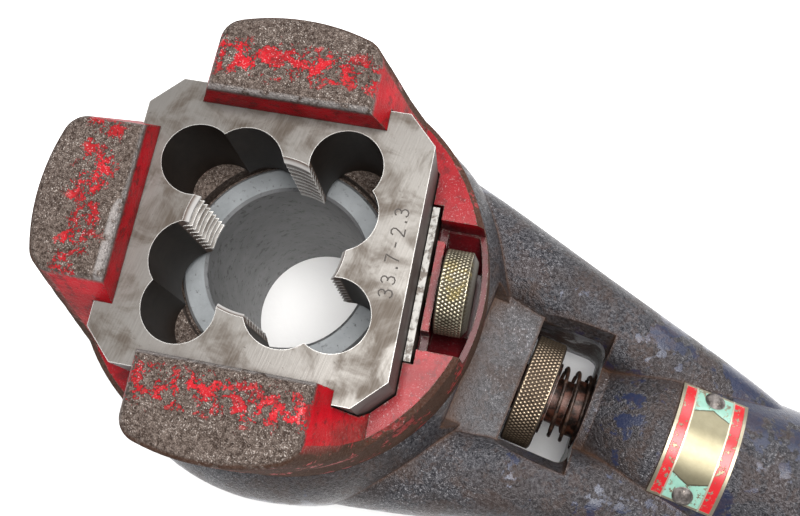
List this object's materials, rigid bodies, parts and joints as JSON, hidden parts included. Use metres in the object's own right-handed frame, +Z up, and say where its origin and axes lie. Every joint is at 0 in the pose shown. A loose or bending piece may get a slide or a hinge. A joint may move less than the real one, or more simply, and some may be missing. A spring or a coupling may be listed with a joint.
{
  "type": "ratchet pipe threading die stock",
  "caption": "Ratchet die stock: a square threading die in a hooked turning head, held in a ring with a reversible spring pawl and a long tube handle.",
  "frame": {"origin": "centre of the guide bush's bore at the bush's lower end, which is the plane the tool stands on", "axes": "+Z up along the thread and head axis, towards the die; +X along the handle, away from the head"},
  "size_m": [0.6146, 0.0972, 0.0883],
  "materials": {
    "black_enamel": "worn black enamel over cast iron",
    "red_enamel": "worn glossy red enamel over cast iron",
    "die_steel": "satin grey, stained",
    "zinc_bush": "dull zinc grey",
    "dark_steel": "dark oxide",
    "bright_steel": "worn bright",
    "knurled_steel": "knurled, greasy",
    "knurled_brown": "knurled, browned",
    "rusty_steel": "rust brown",
    "spring_steel": "rust brown wire",
    "badge_metal": "dull lacquered sheet",
    "rivet_steel": "dull domed"
  },
  "bodies": {
    "stock": {"stock_body": "black_enamel", "thrust_washer": "dark_steel", "badge_plate": "badge_metal", "badge_rivet_1": "rivet_steel", "badge_rivet_2": "rivet_steel", "handle_tube": "black_enamel", "handle_screw": "dark_steel", "handle_cap": "black_enamel", "pawl_spring": "spring_steel"},
    "head": {"die_head": "red_enamel", "die": "die_steel", "guide_bush": "zinc_bush", "bush_screw_1": "dark_steel", "bush_screw_2": "dark_steel", "retaining_ring": "dark_steel", "retaining_screw_1": "dark_steel", "retaining_screw_2": "dark_steel", "retaining_screw_3": "dark_steel", "retaining_screw_4": "dark_steel"},
    "plate": {"clamp_plate": "bright_steel"},
    "screw": {"clamp_screw": "knurled_steel"},
    "follower": {"spring_washer": "rusty_steel"},
    "plunger": {"pawl": "rusty_steel", "pawl_knob": "knurled_brown", "pawl_knob_pin": "dark_steel"}
  },
  "joints": [
    {"name": "head_turn", "type": "hinge", "parent": "stock", "child": "head", "pos_m": [0, 0, 0.03], "axis": [0, 0, 1], "continuous": true},
    {"name": "clamp_slide", "type": "slide", "parent": "head", "child": "plate", "axis": [0.9785, 0.2062, 0], "range_m": [0, 0.00055]},
    {"name": "clamp_turn", "type": "hinge", "parent": "plate", "child": "screw", "pos_m": [0, 0, 0.0592], "axis": [0.9785, 0.2062, 0], "range_deg": [0, 198.2]},
    {"name": "pawl_lift", "type": "slide", "parent": "stock", "child": "follower", "axis": [1, 0, 0], "range_m": [0, 0.006], "stiffness_N_per_m": 800, "springref_m": -0.01, "deforming": ["pawl_spring"]},
    {"name": "pawl_turn", "type": "hinge", "parent": "follower", "child": "plunger", "pos_m": [0.05, 0, 0.023], "axis": [1, 0, 0], "range_deg": [0, 180]}
  ],
  "couplings": [
    {"joint": "clamp_turn", "follows": "clamp_slide", "rad_per_m": 6283.2}
  ]
}
